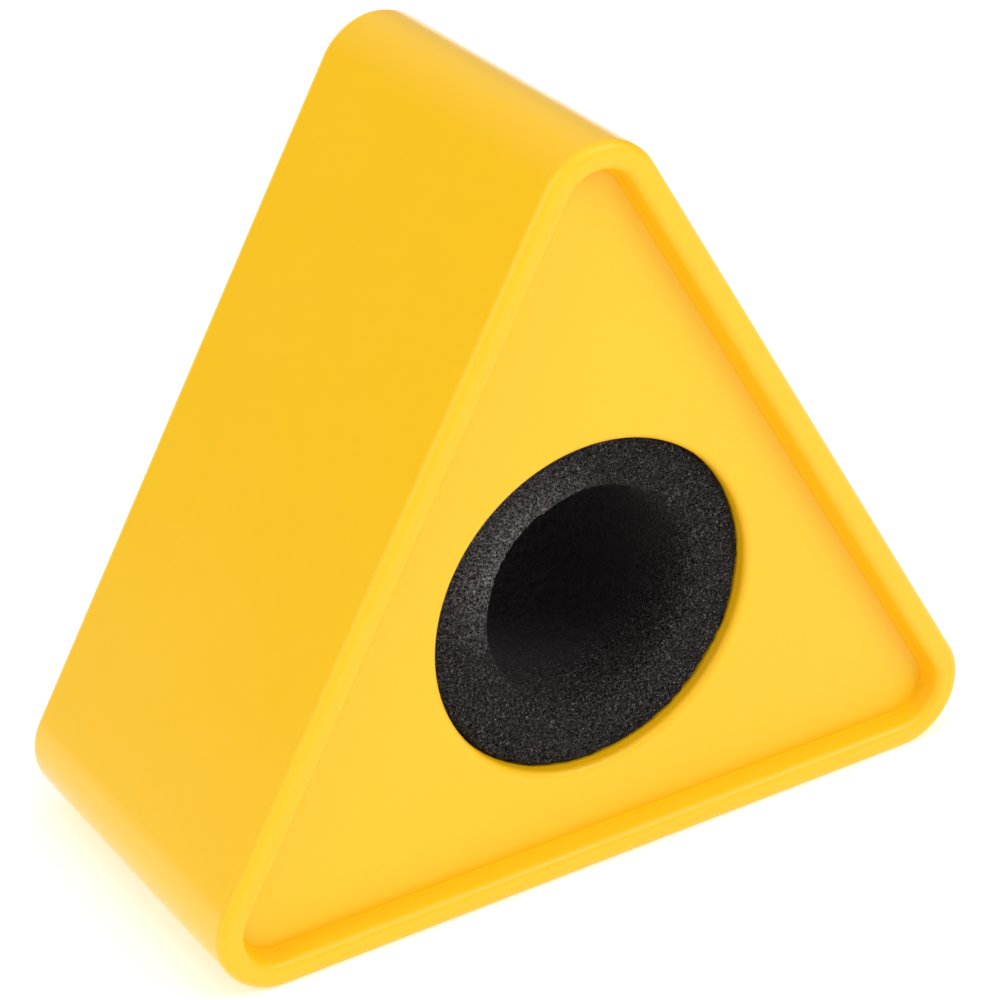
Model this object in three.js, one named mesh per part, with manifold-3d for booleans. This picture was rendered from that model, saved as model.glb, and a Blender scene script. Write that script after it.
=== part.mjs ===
// A triangular microphone flag: a hollow moulded box that slides over the handle of a hand-held
// microphone and is gripped there by a foam sleeve. Its three walls carry a station's sign.
//
// Millimetres, +Z up. It stands on its lower wall with one corner up, and the bore runs along Y.
// The origin is the centre of the bottom of its box, and the front plate faces -Y.

import * as THREE from "three";
import { mergeVertices } from "three/addons/utils/BufferGeometryUtils.js";
import Module from "manifold-3d";

// Outside of the box
const SIDE = 105; // side of the triangle before its corners are rounded
const CORNER_RADIUS = 7.3;
const DEPTH = 45; // from the front rim to the rear rim
const EDGE_RADIUS = 1.1; // rounding of each rim's outer edge

// Walls and plates
const WALL = 2.8; // at the rims
const PLATE = 2;
const RIM_HEIGHT = 2.6; // each plate lies this far behind its rim
const RIM_DRAFT = 0.5; // how much thicker the walls are at the front plate than at the rim
const INNER_EDGE_RADIUS = 1; // rounding of each rim's inner edge
const FOOT_RADIUS = 0.4; // fillet between the front plate and the rim around it
const HOLE_RADIUS = 19.2;
const LIP_RADIUS = 0.8; // rounding of the hole's outer edge

// Inside of the box
const COLLAR_WALL = 1.6;
const RIB_WIDTH = 1.2;
const RIB_SPACING = 40; // between the two stand-off ribs of one wall
const BOSS_RADIUS = 3;
const SOCKET_RADIUS = 1.4;
const SOCKET_DEPTH = 12;

// Rear cover
const COVER_GAP = 0.3; // all round its edge, and under it where it lands on the ribs
const RING_WALL = 1.5; // ring that fits round the end of the collar
const RING_HEIGHT = 3;
const PEG_RADIUS = 1.1;
const PEG_LENGTH = 8;

// Foam sleeve
const SLEEVE_GAP = 0.3; // to the hole and the collar
const SLEEVE_SETBACK = 4; // from each rim to the sleeve's outer edge
const SLEEVE_BORE = 12.1; // bore radius
const SLEEVE_LIP = 2; // rounding where the end face turns into the bore
const SLEEVE_DISH = 0.5; // how far the end face sinks from its outer edge to that lip

// How finely the round shapes are drawn
const CORNER_STEPS = 20;
const EDGE_STEPS = 4;
const ROUND_STEPS = 72;
const SMALL_ROUND_STEPS = 20;
const OVERRUN = 1; // how far a cutting tool reaches past the face that it cuts

// Worked-out sizes
const APOTHEM = SIDE / (2 * Math.sqrt(3)); // from the bore's axis to each wall's outer face
const CORNER_DISTANCE = 2 * (APOTHEM - CORNER_RADIUS); // from the axis to each corner's arc centre
const FRONT = DEPTH / 2;
const PLATE_FRONT = FRONT - RIM_HEIGHT; // front face of the front plate
const PLATE_BACK = PLATE_FRONT - PLATE;
const COVER_BACK = -PLATE_FRONT; // rear face of the rear cover
const COVER_FRONT = -PLATE_BACK;
const SEAT = COVER_FRONT + COVER_GAP; // where the ribs, the bosses and the collar end
const COLLAR_RADIUS = HOLE_RADIUS + COLLAR_WALL;
const CORNER_ANGLES = [90, 210, 330].map(THREE.MathUtils.degToRad);
const WALL_ANGLES = [30, 150, 270].map(THREE.MathUtils.degToRad); // directions the walls face

const wasm = await Module();
wasm.setup();

// ---- Tools -------------------------------------------------------------------------------------

// A closed three.js geometry as a solid that can be joined and cut.
function solidOf(geometry) {
  const bare = geometry.clone();
  bare.deleteAttribute("normal");
  bare.deleteAttribute("uv");
  const merged = mergeVertices(bare, 1e-4);
  return new wasm.Manifold(
    new wasm.Mesh({
      numProp: 3,
      vertProperties: merged.attributes.position.array,
      triVerts: new Uint32Array(merged.index.array),
    }),
  );
}

// A solid as a three.js geometry with flat-shaded faces.
function geometryOf(solid) {
  const { vertProperties, triVerts } = solid.getMesh();
  const indexed = new THREE.BufferGeometry()
    .setAttribute("position", new THREE.BufferAttribute(vertProperties, 3))
    .setIndex(new THREE.BufferAttribute(triVerts, 1));
  const geometry = indexed.toNonIndexed();
  geometry.computeVertexNormals();
  return geometry;
}

// The box's rounded triangle, seen from the front, moved in from the outside by inset.
function triangleOutline(inset) {
  const radius = CORNER_RADIUS - inset;
  const points = [];
  for (const angle of CORNER_ANGLES) {
    const x = CORNER_DISTANCE * Math.cos(angle);
    const y = CORNER_DISTANCE * Math.sin(angle);
    for (let i = 0; i <= CORNER_STEPS; i++) {
      const turn = angle + (i / CORNER_STEPS - 0.5) * (2 * Math.PI / 3);
      points.push([x + radius * Math.cos(turn), y + radius * Math.sin(turn)]);
    }
  }
  return points;
}

// A block through a list of [inset, height] rounded triangles, from the lowest to the highest.
function triangleBlock(profile) {
  const vertices = [];
  for (const [inset, height] of profile) {
    for (const [x, y] of triangleOutline(inset)) {
      vertices.push(x, y, height);
    }
  }
  const count = vertices.length / 3 / profile.length;
  const triangles = [];
  for (let row = 0; row < profile.length - 1; row++) {
    for (let i = 0; i < count; i++) {
      const near = row * count + i;
      const next = row * count + ((i + 1) % count);
      triangles.push(near, next, next + count, near, next + count, near + count);
    }
  }
  const top = (profile.length - 1) * count;
  for (let i = 1; i < count - 1; i++) {
    triangles.push(0, i + 1, i, top, top + i, top + i + 1);
  }
  const geometry = new THREE.BufferGeometry()
    .setAttribute("position", new THREE.Float32BufferAttribute(vertices, 3))
    .setIndex(triangles);
  return solidOf(geometry);
}

// Points of a profile round a quarter circle, between two directions in quarter turns.
function quarter(inset, height, radius, from, to) {
  const points = [];
  for (let i = 0; i <= EDGE_STEPS; i++) {
    const turn = (from + ((to - from) * i) / EDGE_STEPS) * (Math.PI / 2);
    points.push([inset + radius * Math.cos(turn), height + radius * Math.sin(turn)]);
  }
  return points;
}

// A round rod along the bore's direction, centred on x, y.
function rod(radius, low, high, x = 0, y = 0) {
  const steps = radius > BOSS_RADIUS ? ROUND_STEPS : SMALL_ROUND_STEPS;
  const geometry = new THREE.CylinderGeometry(radius, radius, high - low, steps);
  geometry.rotateX(Math.PI / 2);
  return solidOf(geometry.translate(x, y, (low + high) / 2));
}

function ring(outer, inner, low, high) {
  return rod(outer, low, high).subtract(rod(inner, low - OVERRUN, high + OVERRUN));
}

// A bar of the rib width that lies across a wall's or corner's direction. It reaches from near to
// far along that direction, and stands aside of it by offset.
function bar(angle, near, far, offset, low, high) {
  const geometry = new THREE.BoxGeometry(far - near, RIB_WIDTH, high - low);
  geometry.translate((near + far) / 2, offset, (low + high) / 2);
  return solidOf(geometry.rotateZ(angle));
}

// The tool that rounds a hole's outer edge: a short cone-like plug with a curved flank.
function lipCutter(face) {
  const points = [new THREE.Vector2(0, face - LIP_RADIUS)];
  for (let i = 0; i <= EDGE_STEPS; i++) {
    const turn = (i / EDGE_STEPS) * (Math.PI / 2);
    const radius = HOLE_RADIUS + LIP_RADIUS * (1 - Math.cos(turn));
    points.push(new THREE.Vector2(radius, face - LIP_RADIUS * (1 - Math.sin(turn))));
  }
  points.push(new THREE.Vector2(HOLE_RADIUS + LIP_RADIUS, face + OVERRUN));
  points.push(new THREE.Vector2(0, face + OVERRUN));
  const geometry = new THREE.LatheGeometry(points, ROUND_STEPS);
  return solidOf(geometry.rotateX(Math.PI / 2));
}

function material(color, roughness) {
  return new THREE.MeshStandardMaterial({ color, roughness, metalness: 0 });
}

// ---- Pieces ------------------------------------------------------------------------------------
// The shell and the cover are drawn from the front: x to the right, y up, z towards the viewer.

// Two ribs inside each wall, which stop the rear cover at its depth.
function standOffRibs() {
  const ribs = [];
  for (const angle of WALL_ANGLES) {
    for (const offset of [-RIB_SPACING / 2, RIB_SPACING / 2]) {
      const far = APOTHEM - WALL / 2;
      ribs.push(bar(angle, APOTHEM - WALL - RIB_WIDTH, far, offset, SEAT, PLATE_FRONT - PLATE / 2));
    }
  }
  return ribs;
}

// A boss in each corner, held to the wall by a web. Its socket takes one of the cover's pegs.
function cornerBoss(angle) {
  const x = CORNER_DISTANCE * Math.cos(angle);
  const y = CORNER_DISTANCE * Math.sin(angle);
  const end = PLATE_FRONT - PLATE / 2;
  const far = CORNER_DISTANCE + CORNER_RADIUS - WALL / 2;
  return rod(BOSS_RADIUS, SEAT, end, x, y).add(bar(angle, CORNER_DISTANCE, far, 0, SEAT, end));
}

function cornerSocket(angle) {
  const x = CORNER_DISTANCE * Math.cos(angle);
  const y = CORNER_DISTANCE * Math.sin(angle);
  return rod(SOCKET_RADIUS, SEAT - OVERRUN, SEAT + SOCKET_DEPTH, x, y);
}

// The whole box as one block, with the outer edges of both rims rounded.
function outerBlock() {
  return triangleBlock([
    ...quarter(EDGE_RADIUS, -FRONT + EDGE_RADIUS, EDGE_RADIUS, -1, -2),
    ...quarter(EDGE_RADIUS, FRONT - EDGE_RADIUS, EDGE_RADIUS, 2, 1),
  ]);
}

// What is cut out of the block from the rear, up to the front plate.
function hollow() {
  const flare = WALL - INNER_EDGE_RADIUS;
  return triangleBlock([
    [flare, -FRONT - OVERRUN],
    ...quarter(flare, -FRONT + INNER_EDGE_RADIUS, INNER_EDGE_RADIUS, -1, 0),
    [WALL, PLATE_BACK],
  ]);
}

// What is cut out of the block from the front, down to the front plate.
function frontRecess() {
  const flare = WALL - INNER_EDGE_RADIUS;
  const foot = WALL + RIM_DRAFT + FOOT_RADIUS;
  return triangleBlock([
    ...quarter(foot, PLATE_FRONT + FOOT_RADIUS, FOOT_RADIUS, -1, -2),
    ...quarter(flare, FRONT - INNER_EDGE_RADIUS, INNER_EDGE_RADIUS, 0, 1),
    [flare, FRONT + OVERRUN],
  ]);
}

function shellGeometry() {
  let shell = outerBlock().subtract(hollow()).subtract(frontRecess());
  shell = shell.add(rod(COLLAR_RADIUS, SEAT, PLATE_FRONT - PLATE / 2));
  for (const rib of standOffRibs()) {
    shell = shell.add(rib);
  }
  for (const angle of CORNER_ANGLES) {
    shell = shell.add(cornerBoss(angle)).subtract(cornerSocket(angle));
  }
  shell = shell.subtract(rod(HOLE_RADIUS, SEAT - OVERRUN, FRONT));
  return geometryOf(shell.subtract(lipCutter(PLATE_FRONT)));
}

function rearCoverGeometry() {
  const ringInner = COLLAR_RADIUS + COVER_GAP;
  const root = COVER_FRONT - PLATE / 2; // rings and pegs grow out of the middle of the plate
  const edge = WALL + COVER_GAP;
  let cover = triangleBlock([[edge, COVER_BACK], [edge, COVER_FRONT]]);
  cover = cover.add(ring(ringInner + RING_WALL, ringInner, root, COVER_FRONT + RING_HEIGHT));
  for (const angle of CORNER_ANGLES) {
    const x = CORNER_DISTANCE * Math.cos(angle);
    const y = CORNER_DISTANCE * Math.sin(angle);
    cover = cover.add(rod(PEG_RADIUS, root, COVER_FRONT + PEG_LENGTH, x, y));
  }
  cover = cover.subtract(rod(HOLE_RADIUS, COVER_BACK - OVERRUN, COVER_FRONT + OVERRUN));
  const rearFacingLip = lipCutter(PLATE_FRONT).rotate([180, 0, 0]);
  return geometryOf(cover.subtract(rearFacingLip));
}

// The sleeve's end, from its outer edge to its bore, as [radius, distance from the middle].
function sleeveEnd() {
  const edge = FRONT - SLEEVE_SETBACK;
  const lipRadius = SLEEVE_BORE + SLEEVE_LIP;
  const lipTop = edge - SLEEVE_DISH;
  const end = [[HOLE_RADIUS - SLEEVE_GAP, edge]];
  for (let i = 0; i <= EDGE_STEPS; i++) {
    const turn = (i / EDGE_STEPS) * (Math.PI / 2);
    const radius = lipRadius - SLEEVE_LIP * Math.sin(turn);
    end.push([radius, lipTop - SLEEVE_LIP * (1 - Math.cos(turn))]);
  }
  return end;
}

function sleeveGeometry() {
  const end = sleeveEnd();
  const otherEnd = end.map(([radius, along]) => [radius, -along]).reverse();
  const outline = [...otherEnd, ...end, otherEnd[0]];
  const points = outline.map(([radius, along]) => new THREE.Vector2(radius, along));
  return new THREE.LatheGeometry(points, ROUND_STEPS);
}

// ---- Assembly ----------------------------------------------------------------------------------

function part(name, geometry, look) {
  const mesh = new THREE.Mesh(geometry, look);
  mesh.name = name;
  return mesh;
}

const yellowPlastic = material("#ffcc2e", 0.3);
const blackFoam = material("#2b2b2d", 0.95);

const box = new THREE.Group();
box.rotation.x = Math.PI / 2; // the drawing's up becomes +Z, and its front faces -Y
box.add(part("shell", shellGeometry(), yellowPlastic));
box.add(part("rear_cover", rearCoverGeometry(), yellowPlastic.clone()));
box.position.z = APOTHEM;

const sleeve = part("foam_sleeve", sleeveGeometry(), blackFoam);
sleeve.position.z = APOTHEM;

const group = new THREE.Group();
group.add(box, sleeve);

export default group;
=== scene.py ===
"""A yellow triangular microphone flag with a black foam sleeve, in Blender 4.5.

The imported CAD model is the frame. Its three nodes are replaced by finely meshed pieces of the same
size: the moulded shell, the rear cover and the foam sleeve. Metres, +Z up, the bore along Y, and
the front plate facing -Y.
"""

import math

import bpy
import numpy as np
from mathutils import Euler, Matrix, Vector, noise


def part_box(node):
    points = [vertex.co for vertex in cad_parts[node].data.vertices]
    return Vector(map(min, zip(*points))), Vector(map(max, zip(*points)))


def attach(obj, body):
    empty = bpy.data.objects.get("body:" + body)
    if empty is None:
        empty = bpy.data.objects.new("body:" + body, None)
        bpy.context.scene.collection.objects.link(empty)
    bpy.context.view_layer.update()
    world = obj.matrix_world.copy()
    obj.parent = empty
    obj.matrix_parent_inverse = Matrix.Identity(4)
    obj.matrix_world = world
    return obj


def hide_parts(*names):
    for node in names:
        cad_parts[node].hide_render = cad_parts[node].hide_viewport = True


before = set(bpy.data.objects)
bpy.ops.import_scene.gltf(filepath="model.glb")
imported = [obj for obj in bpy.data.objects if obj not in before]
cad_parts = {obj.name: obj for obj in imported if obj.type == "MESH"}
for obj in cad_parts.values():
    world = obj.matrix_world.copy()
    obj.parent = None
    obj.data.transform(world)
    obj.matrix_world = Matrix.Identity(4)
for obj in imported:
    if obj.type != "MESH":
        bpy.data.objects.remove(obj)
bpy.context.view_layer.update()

MM = 0.001

# ---- Sizes ------------------------------------------------------------------------------------

SHELL_LOW, SHELL_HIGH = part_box("shell")
FRONT = SHELL_LOW.y
REAR = SHELL_HIGH.y
WIDTH = SHELL_HIGH.x - SHELL_LOW.x

CORNER_RADIUS = 7.3 * MM
SIDE = WIDTH + 2 * CORNER_RADIUS * (math.sqrt(3) - 1)  # of the triangle before rounding
APOTHEM = SIDE / (2 * math.sqrt(3))
CORNER_DISTANCE = 2 * (APOTHEM - CORNER_RADIUS)
AXIS_HEIGHT = SHELL_LOW.z + APOTHEM

WALL = 2.8 * MM  # at the rims
RIM_DRAFT = 0.5 * MM  # how much thicker the wall is at the front plate
PLATE = 2 * MM
RIM_HEIGHT = 2.6 * MM
RIM_OUTER_EDGE = 1.1 * MM  # roundings
RIM_INNER_EDGE = 1.0 * MM
FOOT = 0.4 * MM
LIP = 0.8 * MM
HOLE_RADIUS = 19.2 * MM
COLLAR_RADIUS = 20.8 * MM
FLAT_INSET = 5 * MM  # a line on each plate's flat part, clear of the roundings
FLAT_BESIDE_HOLE = 2 * MM  # the same beside the hole's lip

PLATE_FRONT = FRONT + RIM_HEIGHT
PLATE_BACK = PLATE_FRONT + PLATE
COVER_BACK = REAR - RIM_HEIGHT
COVER_FRONT = COVER_BACK - PLATE
COVER_GAP = 0.3 * MM  # between the rear cover and what it fits over or rests on
SEAT = COVER_FRONT - COVER_GAP  # where the collar, the bosses and the ribs end

SEAM = 0.1 * MM  # the fine line all round the rear cover
COVER_EDGE = 0.18 * MM
RING_INNER = COLLAR_RADIUS + COVER_GAP
RING_WALL = 1.5 * MM
RING_OUTER = RING_INNER + RING_WALL
RING_HEIGHT = 3 * MM
RIB = 1.2 * MM
RIB_OFFSET = 20 * MM
BOSS_RADIUS = 3 * MM
SOCKET_RADIUS = 1.4 * MM
SOCKET_DEPTH = 12 * MM
PEG_RADIUS = 1.1 * MM
PEG_LENGTH = 8 * MM

CORNER_ANGLES = [math.radians(angle) for angle in (90, 210, 330)]
WALL_ANGLES = [math.radians(angle) for angle in (30, 150, 270)]

ARC_STEPS = 28  # round each corner of the outline
STRAIGHT_STEPS = 84  # along each side of it
EDGE_STEPS = 8  # across each rounding of a profile
SUPPORT = 0.1 * MM  # extra lines beside each rounding keep the flats flat


# ---- Mesh tools -------------------------------------------------------------------------------

def unit(angle):
    return np.array([math.cos(angle), math.sin(angle)])


def triangle_outline():
    """Points (x, z) round the outer wall about the bore's axis, and the outward direction at each."""
    points = []
    outward = []
    for i, angle in enumerate(CORNER_ANGLES):
        centre = CORNER_DISTANCE * unit(angle)
        for turn in np.linspace(-math.pi / 3, math.pi / 3, ARC_STEPS + 1):
            points.append(centre + CORNER_RADIUS * unit(angle + turn))
            outward.append(unit(angle + turn))
        following = CORNER_ANGLES[(i + 1) % 3]
        facing = angle + math.pi / 3
        start = points[-1]
        end = CORNER_DISTANCE * unit(following) + CORNER_RADIUS * unit(facing)
        for step in range(1, STRAIGHT_STEPS):
            points.append(start + (end - start) * step / STRAIGHT_STEPS)
            outward.append(unit(facing))
    return np.array(points), np.array(outward)


OUTLINE, OUTWARD = triangle_outline()
TURNS = np.arctan2(OUTLINE[:, 1], OUTLINE[:, 0])


def ring_at(flat, along):
    """The (x, z) points of flat, about the bore's axis, as a ring at a depth along it."""
    depth = np.full(len(flat), along)
    return np.column_stack([flat[:, 0], depth, flat[:, 1] + AXIS_HEIGHT])


def wall_ring(inset, along):
    return ring_at(OUTLINE - inset * OUTWARD, along)


def hole_ring(radius, along):
    return ring_at(radius * np.column_stack([np.cos(TURNS), np.sin(TURNS)]), along)


def soften(profile):
    """Rounds a profile's corners. Each entry is (across, along, radius), and radius 0 stays sharp."""
    smooth = []
    for i, (across, along, radius) in enumerate(profile):
        corner = np.array([across, along])
        if radius == 0:
            smooth.append(corner)
            continue
        before = corner - np.array(profile[i - 1][:2])
        after = np.array(profile[i + 1][:2]) - corner
        before /= np.linalg.norm(before)
        after /= np.linalg.norm(after)
        turn = math.acos(np.clip(before @ after, -1, 1))
        reach = radius * math.tan(turn / 2)
        side = after - (after @ before) * before
        side /= np.linalg.norm(side)
        start = corner - reach * before
        smooth.append(start - SUPPORT * before)
        for swing in np.linspace(0, turn, EDGE_STEPS + 1):
            drift = math.sin(swing) * before + (1 - math.cos(swing)) * side
            smooth.append(start + radius * drift)
        smooth.append(corner + (reach + SUPPORT) * after)
    return smooth


class Lump:
    """Gathers one mesh: its vertices, its faces, their material slots, and a colour depth.

    The colour depth is one number from 0 to 1 at each vertex, which the materials read as
    colour_depth. A mesh without it gets no such attribute.
    """

    def __init__(self):
        self.points = []
        self.faces = []
        self.slots = []
        self.depths = []

    def add_rings(self, rings, closed, slot_of=lambda row: 0, depths=None):
        """Joins each ring to the next, and the last to the first if closed, or else caps both."""
        base = len(self.points)
        count = len(rings[0])
        for i, ring in enumerate(rings):
            self.points.extend(map(tuple, ring))
            self.depths.extend([depths[i] if depths else 0.0] * count)
        rows = len(rings) if closed else len(rings) - 1
        for row in range(rows):
            near = base + row * count
            far = base + (row + 1) % len(rings) * count
            for i in range(count):
                k = (i + 1) % count
                self.faces.append((near + i, near + k, far + k, far + i))
                self.slots.append(slot_of(row))
        if not closed:
            last = base + (len(rings) - 1) * count
            self.faces.append(tuple(range(base, base + count))[::-1])
            self.faces.append(tuple(range(last, last + count)))
            self.slots.extend([slot_of(0), slot_of(0)])

    def add_rod(self, centre, profile, steps=32):
        """A round rod along the bore's direction from (radius, along) pairs, capped at both ends."""
        turns = np.linspace(0, 2 * math.pi, steps, endpoint=False)
        circle = np.column_stack([np.cos(turns), np.sin(turns)])
        rings = [ring_at(centre + radius * circle, along) for radius, along in profile]
        self.add_rings(rings, closed=False)

    def add_bar(self, angle, near, far, offset, low, high):
        """A bar of the rib's width, from near to far along a direction out from the bore's axis."""
        out = unit(angle)
        across = unit(angle + math.pi / 2)
        corners = [(near, -1), (far, -1), (far, 1), (near, 1)]
        half = RIB / 2
        flat = np.array([reach * out + (offset + side * half) * across for reach, side in corners])
        self.add_rings([ring_at(flat, low), ring_at(flat, high)], closed=False)

    def build(self, name, materials, sharp_degrees=35):
        mesh = bpy.data.meshes.new(name)
        mesh.from_pydata(self.points, [], self.faces)
        for look in materials:
            mesh.materials.append(look)
        if self.depths:
            depth = mesh.attributes.new("colour_depth", "FLOAT", "POINT")
            depth.data.foreach_set("value", self.depths)
        mesh.polygons.foreach_set("material_index", self.slots)
        mesh.polygons.foreach_set("use_smooth", [True] * len(self.faces))
        mesh.set_sharp_from_angle(angle=math.radians(sharp_degrees))
        mesh.validate()
        piece = bpy.data.objects.new(name, mesh)
        bpy.context.scene.collection.objects.link(piece)
        return piece


# ---- Materials --------------------------------------------------------------------------------

YELLOW = (0.95, 0.55, 0.005)
YELLOW_DEEP = (0.94, 0.535, 0.004)
# painted shade: the deeper orange laid into the rims' crease, inside the collar and down the hole
CREASE_SHADE_ORANGE = (0.95, 0.48, 0.003)
CREASE_SHADE_FALL = 1.5  # the power at which the crease's painted shade falls off
FLOW_SIZE = 30 * MM
HANDLING_SIZE = 9 * MM
POLISH_SPREAD = 0.03  # of the roughness, up and down
WAVE_SIZE = 24 * MM
WAVE_DEPTH = 0.12 * MM


class Nodes:
    """A material's node tree, with its Principled shader ready to be fed."""

    def __init__(self, name):
        self.material = bpy.data.materials.new(name)
        self.material.use_nodes = True
        self.tree = self.material.node_tree
        self.shader = self.tree.nodes["Principled BSDF"]
        self.place = self.tree.nodes.new("ShaderNodeTexCoord").outputs["Object"]

    def link(self, source, target):
        self.tree.links.new(source, target)

    def set(self, **values):
        for name, value in values.items():
            self.shader.inputs[name.replace("_", " ")].default_value = value

    def noise(self, size, detail=2.0, roughness=0.5):
        """Noise with features of about the given size in metres, as a value from 0 to 1."""
        node = self.tree.nodes.new("ShaderNodeTexNoise")
        node.inputs["Scale"].default_value = 1 / size
        node.inputs["Detail"].default_value = detail
        node.inputs["Roughness"].default_value = roughness
        self.link(self.place, node.inputs["Vector"])
        return node.outputs["Fac"]

    def cells(self, size):
        """Voronoi cells of about the given size."""
        node = self.tree.nodes.new("ShaderNodeTexVoronoi")
        node.inputs["Scale"].default_value = 1 / size
        self.link(self.place, node.inputs["Vector"])
        return node

    def spread(self, value, low_in, high_in, low_out, high_out):
        """Maps a range of a value onto another, and holds its ends."""
        node = self.tree.nodes.new("ShaderNodeMapRange")
        for name, number in zip(("From Min", "From Max", "To Min", "To Max"),
                                (low_in, high_in, low_out, high_out)):
            node.inputs[name].default_value = number
        self.link(value, node.inputs["Value"])
        return node.outputs["Result"]

    def attribute(self, name):
        """A number stored at the mesh's vertices."""
        node = self.tree.nodes.new("ShaderNodeAttribute")
        node.attribute_name = name
        return node.outputs["Fac"]

    def near(self, point, inner, outer):
        """A value that is 1 within the inner distance of a point and falls to 0 at the outer."""
        node = self.tree.nodes.new("ShaderNodeVectorMath")
        node.operation = "DISTANCE"
        self.link(self.place, node.inputs[0])
        node.inputs[1].default_value = point
        return self.spread(node.outputs["Value"], inner, outer, 1, 0)

    def math(self, operation, first, second):
        node = self.tree.nodes.new("ShaderNodeMath")
        node.operation = operation
        for socket, value in zip(node.inputs, (first, second)):
            if isinstance(value, (int, float)):
                socket.default_value = value
            else:
                self.link(value, socket)
        return node.outputs[0]

    def blend(self, factor, first, second):
        """A colour between two, either of which is a plain colour or another node's output."""
        node = self.tree.nodes.new("ShaderNodeMix")
        node.data_type = "RGBA"
        self.link(factor, node.inputs["Factor"])
        for name, value in (("A", first), ("B", second)):
            socket = [s for s in node.inputs if s.name == name and s.type == "RGBA"][0]
            if isinstance(value, tuple):
                socket.default_value = (*value, 1)
            else:
                self.link(value, socket)
        return [s for s in node.outputs if s.type == "RGBA"][0]

    def bump(self, height, depth, under=None):
        """A surface raised by depth where height is 1, on top of another such surface if given."""
        node = self.tree.nodes.new("ShaderNodeBump")
        node.inputs["Distance"].default_value = depth
        node.inputs["Strength"].default_value = 1
        self.link(height, node.inputs["Height"])
        if under is not None:
            self.link(under, node.inputs["Normal"])
        return node.outputs["Normal"]


def yellow_plastic(name, roughness, grain_size, grain_depth, shine=0.5):
    """Moulded ABS, a little mottled and wavy, with the grain of its mould, and painted shade, a deeper
    orange, in the creases, the collar and the hole.
    """
    nodes = Nodes(name)
    flow = nodes.noise(FLOW_SIZE, detail=1.5)
    body = nodes.blend(flow, YELLOW, YELLOW_DEEP)
    # painted shade: deeper orange where the ring's colour depth is high, in the crease, the collar and
    # the hole
    crease = nodes.math("POWER", nodes.attribute("colour_depth"), CREASE_SHADE_FALL)
    nodes.link(nodes.blend(crease, body, CREASE_SHADE_ORANGE), nodes.shader.inputs["Base Color"])
    handling = nodes.noise(HANDLING_SIZE, detail=4, roughness=0.6)
    smoothest = roughness - POLISH_SPREAD
    roughest = roughness + POLISH_SPREAD
    polish = nodes.spread(handling, 0.3, 0.7, smoothest, roughest)
    nodes.link(polish, nodes.shader.inputs["Roughness"])
    waviness = nodes.bump(nodes.noise(WAVE_SIZE, detail=0), WAVE_DEPTH)
    grain = nodes.noise(grain_size, detail=2)
    surface = nodes.bump(grain, grain_depth, under=waviness)
    nodes.link(surface, nodes.shader.inputs["Normal"])
    nodes.set(IOR=1.53, Specular_IOR_Level=shine)
    return nodes.material


FOAM_CELL = 0.38 * MM
# painted shade: the near-black colour of the cells' hollows, where the foam lies in shade
FOAM_HOLLOW_SHADE = (0.002, 0.0018, 0.0018)
FOAM_STRAND = (0.081, 0.072, 0.071)
# painted sheen: the lighter colour laid on the bore's lip at the upper left, where light grazes the foam
FOAM_PAINTED_SHEEN = (0.3, 0.275, 0.27)
# painted glints: small light specks scattered over the foam
FOAM_GLINT = (0.24, 0.22, 0.22)
FOAM_INSIDE = (0.036, 0.031, 0.031)
FOAM_FACE = FRONT + 5 * MM  # near where the bore's lip starts
BORE_MOUTH = (0, FOAM_FACE, AXIS_HEIGHT)
LIP_REACH = (14 * MM, 19 * MM)  # from the bore's mouth, where the painted sheen fades out
SHEEN_PLACE = (-9.5 * MM, FOAM_FACE, AXIS_HEIGHT + 10 * MM)  # the middle of the painted sheen, on the lip at the upper left
SHEEN_REACH = (4 * MM, 13 * MM)


def black_foam():
    """Open-cell foam: dull strands round cells painted dark as shade, painted glints scattered over it,
    and painted sheen on the bore's lip at the upper left.
    """
    nodes = Nodes("black_foam")
    cell = nodes.cells(FOAM_CELL)
    strands = nodes.spread(cell.outputs["Distance"], 0.35, 0.8, 0, 1)
    fine = nodes.noise(0.2 * MM, detail=2, roughness=0.6)
    broken = nodes.spread(fine, 0.42, 0.58, 0, 1)
    tone = nodes.math("MULTIPLY", nodes.math("ADD", strands, 0.3), broken)
    # painted shade: the cells' hollows are coloured near black and the strands round them lighter, with
    # random tone from the fine noise
    body = nodes.blend(tone, FOAM_HOLLOW_SHADE, FOAM_STRAND)
    # painted sheen: the strands on the bore's lip at the upper left are lightened, as grazing light does
    sheen_spot = nodes.near(SHEEN_PLACE, *SHEEN_REACH)
    lip = nodes.math("MULTIPLY", sheen_spot, nodes.near(BORE_MOUTH, *LIP_REACH))
    body = nodes.blend(nodes.math("MULTIPLY", lip, tone), body, FOAM_PAINTED_SHEEN)
    # painted glints: small light specks scattered over the foam's colour
    glints = nodes.spread(nodes.noise(0.24 * MM, detail=1), 0.64, 0.74, 0, 1)
    body = nodes.blend(glints, body, FOAM_GLINT)
    inside = nodes.attribute("colour_depth")
    nodes.link(nodes.blend(inside, body, FOAM_INSIDE), nodes.shader.inputs["Base Color"])
    nodes.link(nodes.bump(tone, 0.3 * MM), nodes.shader.inputs["Normal"])
    nodes.set(Roughness=0.8, IOR=1.4, Specular_IOR_Level=0.08)
    nodes.set(Sheen_Weight=0.04, Sheen_Roughness=0.4)
    return nodes.material


FLOOR_GLOW = 0.28
FLOOR_GLOW_FAR = 0.5
FLOOR_NEAR = 600 * MM
FLOOR_FAR = 1800 * MM


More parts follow.
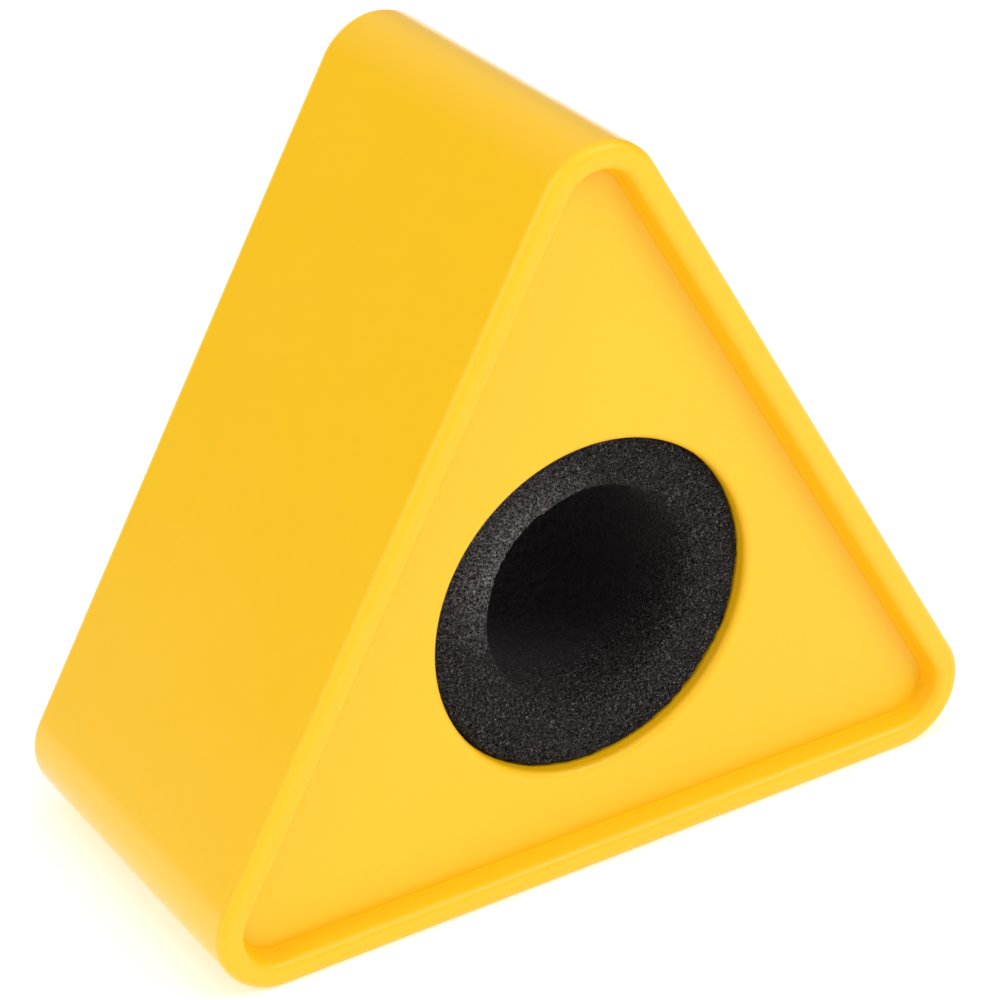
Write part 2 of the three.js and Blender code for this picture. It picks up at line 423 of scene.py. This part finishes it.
def floor_white():
    """A white table lit from below, more so far out, which leaves hardly any shadow or horizon."""
    nodes = Nodes("floor_white")
    closeness = nodes.near((0, 0, 0), FLOOR_NEAR, FLOOR_FAR)
    glow = nodes.spread(closeness, 0, 1, FLOOR_GLOW_FAR, FLOOR_GLOW)
    nodes.link(glow, nodes.shader.inputs["Emission Strength"])
    shade = nodes.noise(200 * MM, detail=2)
    white = nodes.blend(shade, (0.94, 0.94, 0.94), (0.95, 0.95, 0.95))
    nodes.link(white, nodes.shader.inputs["Base Color"])
    nodes.set(Roughness=0.8, Emission_Color=(1, 1, 1, 1))
    return nodes.material


# ---- Pieces -----------------------------------------------------------------------------------

WALL_LOOK = 0
PLATE_LOOK = 1
CREASE_LOOK = 2

CORNER_ROWS = EDGE_STEPS + 3  # the rings that soften makes of one rounded corner
COLLAR_SHADE = 0.6  # of the painted shade inside the collar and down the hole


def add_corner_boss(lump, angle):
    """The boss in one corner, with the blind socket for a peg, and the web that holds it."""
    end = PLATE_FRONT + PLATE / 2
    profile = [(BOSS_RADIUS, end), (BOSS_RADIUS, SEAT), (SOCKET_RADIUS, SEAT),
               (SOCKET_RADIUS, SEAT - SOCKET_DEPTH)]
    lump.add_rod(CORNER_DISTANCE * unit(angle), profile[::-1])
    near = CORNER_DISTANCE + (BOSS_RADIUS + SOCKET_RADIUS) / 2
    far = CORNER_DISTANCE + CORNER_RADIUS - WALL / 2
    lump.add_bar(angle, near, far, 0, end, SEAT)


def shell_shade_depths(wall_rings, middle_rings):
    """The colour depth of each ring, which is painted shade: deep in the plate's crease, inside the
    collar and down the hole, fading out over the hole's lip, 0 elsewhere.
    """
    depths = [0.0] * (wall_rings + middle_rings)
    depths[1] = 0.7
    depths[2:1 + CORNER_ROWS] = np.linspace(1, 0.6, CORNER_ROWS - 1)
    depths[1 + CORNER_ROWS] = 0.2  # where the rim's inner rounding starts
    lip_start = wall_rings + 3
    depths[wall_rings:lip_start] = [COLLAR_SHADE] * 3
    depths[lip_start:lip_start + CORNER_ROWS] = np.linspace(COLLAR_SHADE, 0, CORNER_ROWS)
    return depths


def shell_look(row):
    """Gloss on the outer wall, satin on the plate and rims, and the crease's own at the foot."""
    if 1 <= row < CORNER_ROWS:
        return CREASE_LOOK
    wall_start = 3 * CORNER_ROWS - 1  # past the foot and both front roundings
    return WALL_LOOK if wall_start <= row < wall_start + 3 else PLATE_LOOK


def shell_piece(looks):
    """The shell's moulding: one closed surface, with its ribs and corner bosses set into it."""
    walls = soften([
        (FLAT_INSET, PLATE_FRONT, 0),
        (WALL + RIM_DRAFT, PLATE_FRONT, FOOT),
        (WALL, FRONT, RIM_INNER_EDGE),
        (0, FRONT, RIM_OUTER_EDGE),
        (0, REAR, RIM_OUTER_EDGE),
        (WALL, REAR, RIM_INNER_EDGE),
        (WALL, PLATE_BACK, 0),
    ])
    middle = soften([
        (COLLAR_RADIUS, PLATE_BACK, 0),
        (COLLAR_RADIUS, SEAT, 0),
        (HOLE_RADIUS, SEAT, 0),
        (HOLE_RADIUS, PLATE_FRONT, LIP),
        (HOLE_RADIUS + FLAT_BESIDE_HOLE, PLATE_FRONT, 0),
    ])
    rings = [wall_ring(inset, along) for inset, along in walls]
    rings += [hole_ring(radius, along) for radius, along in middle]
    lump = Lump()
    lump.add_rings(rings, closed=True, slot_of=shell_look,
                   depths=shell_shade_depths(len(walls), len(middle)))
    near = APOTHEM - WALL - RIB
    far = APOTHEM - WALL / 2
    for angle in WALL_ANGLES:
        for offset in (-RIB_OFFSET, RIB_OFFSET):
            lump.add_bar(angle, near, far, offset, PLATE_BACK - PLATE / 2, SEAT)
    for angle in CORNER_ANGLES:
        add_corner_boss(lump, angle)
    return lump.build("moulded_shell", looks)


def rear_cover_piece(looks):
    """The rear cover: one closed surface with the locating ring, and three pegs set into it."""
    edge = soften([
        (FLAT_INSET, COVER_FRONT, 0),
        (WALL + SEAM, COVER_FRONT, COVER_EDGE),
        (WALL + SEAM, COVER_BACK, COVER_EDGE),
        (FLAT_INSET, COVER_BACK, 0),
    ])
    middle = soften([
        (HOLE_RADIUS + FLAT_BESIDE_HOLE, COVER_BACK, 0),
        (HOLE_RADIUS, COVER_BACK, LIP),
        (HOLE_RADIUS, COVER_FRONT, 0),
        (RING_INNER, COVER_FRONT, 0),
        (RING_INNER, COVER_FRONT - RING_HEIGHT, 0),
        (RING_OUTER, COVER_FRONT - RING_HEIGHT, 0),
        (RING_OUTER, COVER_FRONT, 0),
    ])
    rings = [wall_ring(inset, along) for inset, along in edge]
    rings += [hole_ring(radius, along) for radius, along in middle]
    lump = Lump()
    lump.add_rings(rings, closed=True, slot_of=lambda row: PLATE_LOOK)
    for angle in CORNER_ANGLES:
        peg = [(PEG_RADIUS, COVER_FRONT - PEG_LENGTH), (PEG_RADIUS, COVER_FRONT + PLATE / 2)]
        lump.add_rod(CORNER_DISTANCE * unit(angle), peg)
    return lump.build("moulded_rear_cover", looks)


# ---- Foam sleeve ------------------------------------------------------------------------------

FOAM_OUTER = 19.1 * MM
FOAM_BORE = 12.1 * MM
FOAM_SETBACK = 4 * MM  # from each rim to the foam's outer edge
FOAM_DISH = 0.5 * MM  # how far the end face sinks towards the bore
FOAM_LIP = 2.0 * MM
FOAM_EDGE = 0.6 * MM
FOAM_COLUMNS = 480
OUTSIDE_STEP = 1 * MM
FACE_STEP = 0.2 * MM  # finer where the end face and the bore show
BORE_STEP = 0.3 * MM
PLAIN_START = 5.5 * MM  # in from the foam's ends, where its bore begins to turn plain
PLAIN_REACH = 6 * MM
BORE_SHIFT = (0.65 * MM, 0.5 * MM)  # the bore is cut a little off centre, right and up
CELL = 0.45 * MM
CELL_DEPTH = 0.22 * MM
UNEVENNESS = 0.2 * MM
UNEVEN_SIZE = 6 * MM
TEARING = 0.16 * MM  # the ragged bite of the cutter
TEARING_SIZE = 0.7 * MM


def spaced(start, end, step):
    """Points on a straight run, from start up to but not including end."""
    count = max(1, round(np.linalg.norm(end - start) / step))
    return [start + (end - start) * i / count for i in range(count)]


def foam_half_profile():
    """From the middle of the outside to the middle of the bore, over the rear end."""
    half = (REAR - FRONT) / 2 - FOAM_SETBACK
    corners = [
        (FOAM_OUTER, 0, 0),
        (FOAM_OUTER, half, FOAM_EDGE),
        (FOAM_BORE, half - FOAM_DISH, FOAM_LIP),
        (FOAM_BORE, 0, 0),
    ]
    line = soften(corners)
    points = []
    for start, end in zip(line, line[1:]):
        if start[0] == end[0] == FOAM_OUTER:
            step = OUTSIDE_STEP
        elif start[0] == end[0]:
            step = BORE_STEP
        else:
            step = FACE_STEP
        points += spaced(start, end, step)
    return np.array(points)


def foam_rows():
    """The whole closed profile, and the outward direction at each of its points."""
    rear = foam_half_profile()
    front = rear[1:][::-1] * np.array([1, -1])
    profile = np.vstack([rear, [[FOAM_BORE, 0]], front])
    ahead = np.roll(profile, -1, axis=0) - np.roll(profile, 1, axis=0)
    outward = np.column_stack([ahead[:, 1], -ahead[:, 0]])
    outward /= np.linalg.norm(outward, axis=1)[:, None]
    return profile, outward


def foam_height(place):
    """How far the foam stands out at a place, from its cells and from its uneven cut."""
    cells = noise.voronoi(place / CELL)[0]
    strand = min(1.0, (cells[1] - cells[0]) * 1.6)
    grain = noise.noise(place / (0.5 * CELL))
    uneven = noise.noise(place / UNEVEN_SIZE)
    torn = noise.noise(place / TEARING_SIZE)
    return CELL_DEPTH * (0.25 * grain - 0.75 * strand) + UNEVENNESS * uneven + TEARING * torn


def foam_depths(profile):
    """The colour depth of each ring of the foam: it grows inwards along the bore, and is 0 outside."""
    mouth = (REAR - FRONT) / 2 - FOAM_SETBACK
    inwards = mouth - np.abs(profile[:, 1])
    in_bore = profile[:, 0] < FOAM_BORE + FOAM_LIP
    plain = np.clip((inwards - PLAIN_START) / PLAIN_REACH, 0, 1)
    return list(np.where(in_bore, plain, 0))


def foam_piece(look):
    """The foam tube, with its cells, its uneven cut and its torn edges as real shape."""
    profile, outward = foam_rows()
    turns = np.linspace(0, 2 * math.pi, FOAM_COLUMNS, endpoint=False)
    rings = []
    for (radius, along), (push_out, push_along) in zip(profile, outward):
        share = (FOAM_OUTER - radius) / (FOAM_OUTER - FOAM_BORE)
        shift_x, shift_z = share * BORE_SHIFT[0], share * BORE_SHIFT[1]
        ring = []
        for turn in turns:
            place = Vector((radius * math.cos(turn), along, radius * math.sin(turn)))
            height = foam_height(place)
            far = radius + height * push_out
            ring.append((far * math.cos(turn) + shift_x, along + height * push_along,
                         AXIS_HEIGHT + far * math.sin(turn) + shift_z))
        rings.append(np.array(ring))
    lump = Lump()
    lump.add_rings(rings, closed=True, depths=foam_depths(profile))
    return lump.build("foam_tube", [look], sharp_degrees=180)


# ---- Studio -----------------------------------------------------------------------------------

def area_light(name, place, width, watts):
    """A round soft light turned to the middle of the object, which the camera doesn't see."""
    light = bpy.data.lights.new(name, "AREA")
    light.shape = "DISK"
    light.size = width
    light.energy = watts
    lamp = bpy.data.objects.new(name, light)
    lamp.location = place
    middle = Vector((0, 0, AXIS_HEIGHT))
    lamp.rotation_euler = (middle - lamp.location).to_track_quat("-Z", "Y").to_euler()
    lamp.visible_camera = False
    bpy.context.scene.collection.objects.link(lamp)


HORIZON_LIGHT = 0.187
SKY_LIGHT = 0.68


def world_light():
    """White to the camera; as light, dim near the horizon and brighter overhead."""
    world = bpy.data.worlds.new("studio_white")
    world.use_nodes = True
    tree = world.node_tree
    place = tree.nodes.new("ShaderNodeTexCoord")
    axes = tree.nodes.new("ShaderNodeSeparateXYZ")
    tree.links.new(place.outputs["Generated"], axes.inputs["Vector"])
    rise = tree.nodes.new("ShaderNodeMapRange")
    rise.interpolation_type = "SMOOTHSTEP"
    levels = {"From Min": 0.25, "From Max": 0.85, "To Min": HORIZON_LIGHT, "To Max": SKY_LIGHT}
    for name, number in levels.items():
        rise.inputs[name].default_value = number
    tree.links.new(axes.outputs["Z"], rise.inputs["Value"])
    light = tree.nodes["Background"]
    light.inputs["Color"].default_value = (1, 1, 1, 1)
    tree.links.new(rise.outputs["Result"], light.inputs["Strength"])
    backdrop = tree.nodes.new("ShaderNodeBackground")
    backdrop.inputs["Color"].default_value = (1, 1, 1, 1)
    rays = tree.nodes.new("ShaderNodeLightPath")
    choose = tree.nodes.new("ShaderNodeMixShader")
    tree.links.new(rays.outputs["Is Camera Ray"], choose.inputs["Fac"])
    tree.links.new(light.outputs["Background"], choose.inputs[1])
    tree.links.new(backdrop.outputs["Background"], choose.inputs[2])
    tree.links.new(choose.outputs["Shader"], tree.nodes["World Output"].inputs["Surface"])
    bpy.context.scene.world = world


LIGHTS = [  # name, place, width, watts
    ("front_left_softbox", (-0.4, -1.2, 0.7), 0.9, 1.8),
    ("front_right_softbox", (0.9, -1.0, 1.1), 0.9, 11.8),
    ("left_softbox", (-1.3, -0.1, 0.8), 0.9, 7.8),
    ("top_softbox", (0, -0.35, 1.5), 0.9, 2.5),
    ("rear_right_softbox", (0.6, 1.1, 0.45), 1.0, 0.55),
    ("rear_fill", (0.1, 1.3, 0.2), 0.6, 3),
    ("rear_card", (-0.75, 0.93, 0.085), 0.07, 0.005),
]


def studio():
    """The world's light and every lamp."""
    world_light()
    for light in LIGHTS:
        area_light(*light)


FLOOR_RADII = (0.3, 1, 3, 6)
FLOOR_STEPS = 96


def floor():
    """A flat round floor: a disc in the middle, and rings of faces round it."""
    turns = np.linspace(0, 2 * math.pi, FLOOR_STEPS, endpoint=False)
    circle = np.column_stack([np.cos(turns), np.sin(turns)])
    lump = Lump()
    for radius in FLOOR_RADII:
        for x, y in radius * circle:
            lump.points.append((x, y, 0))
    lump.faces.append(tuple(range(FLOOR_STEPS)))
    for row in range(len(FLOOR_RADII) - 1):
        near = row * FLOOR_STEPS
        far = near + FLOOR_STEPS
        for i in range(FLOOR_STEPS):
            k = (i + 1) % FLOOR_STEPS
            lump.faces.append((near + i, far + i, far + k, near + k))
    lump.slots = [0] * len(lump.faces)
    lump.build("floor", [floor_white()])


CAMERA_PLACE = Vector((-164.6, -275, 211.5)) * MM
CAMERA_AZIMUTH = math.radians(31.01)
CAMERA_ELEVATION = math.radians(-28.94)
CAMERA_ROLL = math.radians(-1.73)
CAMERA_LENS = 122
CAMERA_SENSOR = 36


def camera():
    """The camera, aimed by its heading, its tilt and a slight roll."""
    data = bpy.data.cameras.new("camera")
    data.lens = CAMERA_LENS
    data.sensor_width = CAMERA_SENSOR
    view = bpy.data.objects.new("camera", data)
    view.location = CAMERA_PLACE
    aim = Euler((math.pi / 2 + CAMERA_ELEVATION, 0, -CAMERA_AZIMUTH)).to_matrix()
    roll = Euler((0, 0, CAMERA_ROLL)).to_matrix()
    view.rotation_euler = (aim @ roll).to_euler()
    bpy.context.scene.collection.objects.link(view)
    bpy.context.scene.camera = view


# ---- Scene ------------------------------------------------------------------------------------

camera()
studio()
floor()
bpy.context.scene.view_settings.view_transform = "Standard"

gloss = yellow_plastic("yellow_plastic_gloss", 0.2, 0.6 * MM, 0.003 * MM)
satin = yellow_plastic("yellow_plastic_satin", 0.42, 0.35 * MM, 0.02 * MM, shine=0.4)
crease = yellow_plastic("yellow_plastic_crease", 0.7, 0.35 * MM, 0.02 * MM, shine=0.1)

shell = shell_piece([gloss, satin, crease])
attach(shell, "flag")
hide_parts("shell")

rear_cover = rear_cover_piece([gloss, satin])
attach(rear_cover, "flag")
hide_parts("rear_cover")

foam = foam_piece(black_foam())
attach(foam, "sleeve")
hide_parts("foam_sleeve")
